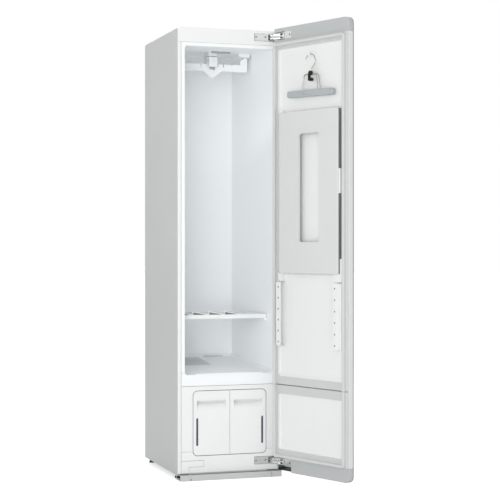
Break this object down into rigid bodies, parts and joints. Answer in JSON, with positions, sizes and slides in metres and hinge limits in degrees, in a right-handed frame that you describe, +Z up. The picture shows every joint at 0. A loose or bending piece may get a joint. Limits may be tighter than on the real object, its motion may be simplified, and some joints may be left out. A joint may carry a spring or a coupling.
{
  "type": "clothes care steam cabinet",
  "caption": "Tall white steam care cabinet with its glass-faced door open, trousers press on the door, moving hanger bar, shelf and two water tanks.",
  "frame": {"origin": "floor level, middle of the cabinet's width, on the plane of the front panels, under the plinth", "axes": "+X to the right seen from the front, +Y back into the cabinet, +Z up"},
  "size_m": [0.5918, 0.9806, 1.85],
  "materials": {
    "white_steel": "matt powder coat",
    "grey_steel": "galvanised",
    "white_plastic": "smooth",
    "liner_white": "satin",
    "plinth_grey": "satin",
    "door_grey": "satin",
    "inner_panel": "satin",
    "gasket_grey": "soft",
    "tank_clear": "translucent blue grey",
    "tinted_glass": "dark mirror",
    "hinge_chrome": "polished",
    "wire_chrome": "polished wire",
    "clamp_grey": "satin",
    "black_plastic": "satin",
    "cover_white": "satin",
    "rail_white": "smooth",
    "lamp_lens": "frosted",
    "insulation": "fibre board",
    "compressor_black": "satin",
    "copper": "tube",
    "boiler_metal": "cast",
    "fin_metal": "sheet",
    "duct_grey": "satin",
    "foot_rubber": "soft",
    "filter_grey": "satin"
  },
  "bodies": {
    "cabinet": {"side_panel_right": "white_steel", "side_panel_left": "white_steel", "top_cover": "white_steel", "back_panel": "grey_steel", "base_pan": "grey_steel", "insulation_boards": "insulation", "top_front_panel": "white_plastic", "lower_front_panel": "white_plastic", "bottom_front_panel": "white_plastic", "blank_hinge_cover": "white_plastic", "kick_plate": "plinth_grey", "cavity_liner": "liner_white", "cavity_floor": "liner_white", "steam_nozzle": "filter_grey", "cavity_lamp": "lamp_lens", "tank_bay": "duct_grey", "rear_feet": "foot_rubber", "cabinet_screws": "grey_steel", "power_inlet": "black_plastic", "drive_housing": "white_plastic", "hanger_motor": "grey_steel", "hanger_guides": "white_plastic", "filter_duct": "duct_grey", "heat_exchanger": "fin_metal", "blower_housing": "duct_grey", "blower_motor": "grey_steel", "compressor": "compressor_black", "steam_generator": "boiler_metal", "water_pumps": "black_plastic", "control_box": "duct_grey", "pipework": "copper", "hinge_brackets": "hinge_chrome"},
    "door": {"door_glass": "tinted_glass", "door_frame": "door_grey", "touch_module": "black_plastic", "door_liner_upper": "inner_panel", "door_liner_lower": "inner_panel", "door_gasket": "gasket_grey", "door_hook": "rail_white", "door_end_caps": "door_grey", "press_rails": "rail_white", "hinge_cups": "hinge_chrome"},
    "hinge_links": {"hinge_links": "hinge_chrome"},
    "press_cover": {"press_cover": "cover_white"},
    "press_latch": {"press_latch": "rail_white"},
    "trouser_hanger": {"trouser_hanger": "wire_chrome", "clamp_bar": "clamp_grey", "hanger_clip": "black_plastic"},
    "clamp_jaw": {"clamp_jaw": "clamp_grey"},
    "hanger_bar": {"hanger_bar": "white_plastic"},
    "hanger_crank": {"hanger_crank": "grey_steel"},
    "shelf": {"shelf": "white_plastic"},
    "lint_filter": {"lint_filter": "filter_grey"},
    "blower_wheel": {"blower_wheel": "black_plastic"},
    "supply_tank": {"supply_tank_front": "white_plastic", "supply_tank_body": "tank_clear"},
    "drain_tank": {"drain_tank_front": "white_plastic", "drain_tank_body": "tank_clear"},
    "levelling_foot_left": {"levelling_foot_left": "foot_rubber"},
    "levelling_foot_right": {"levelling_foot_right": "foot_rubber"}
  },
  "joints": [
    {"name": "door_swing", "type": "hinge", "parent": "cabinet", "child": "door", "pos_m": [0.2045, -0.038, 0.9], "axis": [0, 0, 1], "range_deg": [-111.4, 0]},
    {"name": "hinge_link_turn", "type": "hinge", "parent": "door", "child": "hinge_links", "pos_m": [0.21003, -0.06545, 0.9], "axis": [0, 0, 1], "range_deg": [0, 55.7]},
    {"name": "press_cover_open", "type": "hinge", "parent": "door", "child": "press_cover", "pos_m": [0.19655, -0.08623, 1.17], "axis": [0, 0, -1], "range_deg": [0, 95]},
    {"name": "press_latch_push", "type": "slide", "parent": "press_cover", "child": "press_latch", "axis": [-0.3649, 0.9311, 0], "range_m": [0, 0.003], "stiffness_N_per_m": 250},
    {"name": "trouser_hanger_swing", "type": "hinge", "parent": "door", "child": "trouser_hanger", "pos_m": [0.26, -0.25361, 1.7201], "axis": [-0.9311, -0.3649, 0], "range_deg": [-10, 10]},
    {"name": "clamp_jaw_open", "type": "hinge", "parent": "trouser_hanger", "child": "clamp_jaw", "pos_m": [0.25401, -0.25751, 1.63996], "axis": [-0.3648, 0.9309, 0.0192], "range_deg": [0, 14], "stiffness_Nm_per_rad": 0.05},
    {"name": "hanger_bar_slide", "type": "slide", "parent": "cabinet", "child": "hanger_bar", "axis": [1, 0, 0], "range_m": [-0.007, 0.007]},
    {"name": "hanger_crank_turn", "type": "hinge", "parent": "cabinet", "child": "hanger_crank", "pos_m": [0, 0.258, 1.746], "axis": [0, 0, 1], "continuous": true},
    {"name": "shelf_slide", "type": "slide", "parent": "cabinet", "child": "shelf", "axis": [0, -1, 0], "range_m": [0, 0.065]},
    {"name": "lint_filter_lift", "type": "slide", "parent": "cabinet", "child": "lint_filter", "axis": [0, 0, 1], "range_m": [0, 0.06]},
    {"name": "blower_spin", "type": "hinge", "parent": "cabinet", "child": "blower_wheel", "pos_m": [0.16, 0.345, 0.398], "axis": [0, 0, 1], "continuous": true},
    {"name": "supply_tank_slide", "type": "slide", "parent": "cabinet", "child": "supply_tank", "axis": [0, -1, 0], "range_m": [0, 0.25]},
    {"name": "drain_tank_slide", "type": "slide", "parent": "cabinet", "child": "drain_tank", "axis": [0, -1, 0], "range_m": [0, 0.25]},
    {"name": "levelling_foot_left_turn", "type": "hinge", "parent": "cabinet", "child": "levelling_foot_left", "pos_m": [-0.195, 0.075, 0.01], "axis": [0, 0, 1], "continuous": true},
    {"name": "levelling_foot_right_turn", "type": "hinge", "parent": "cabinet", "child": "levelling_foot_right", "pos_m": [0.195, 0.075, 0.01], "axis": [0, 0, 1], "continuous": true}
  ],
  "couplings": [
    {"joint": "hinge_link_turn", "follows": "door_swing", "ratio": -0.5}
  ]
}
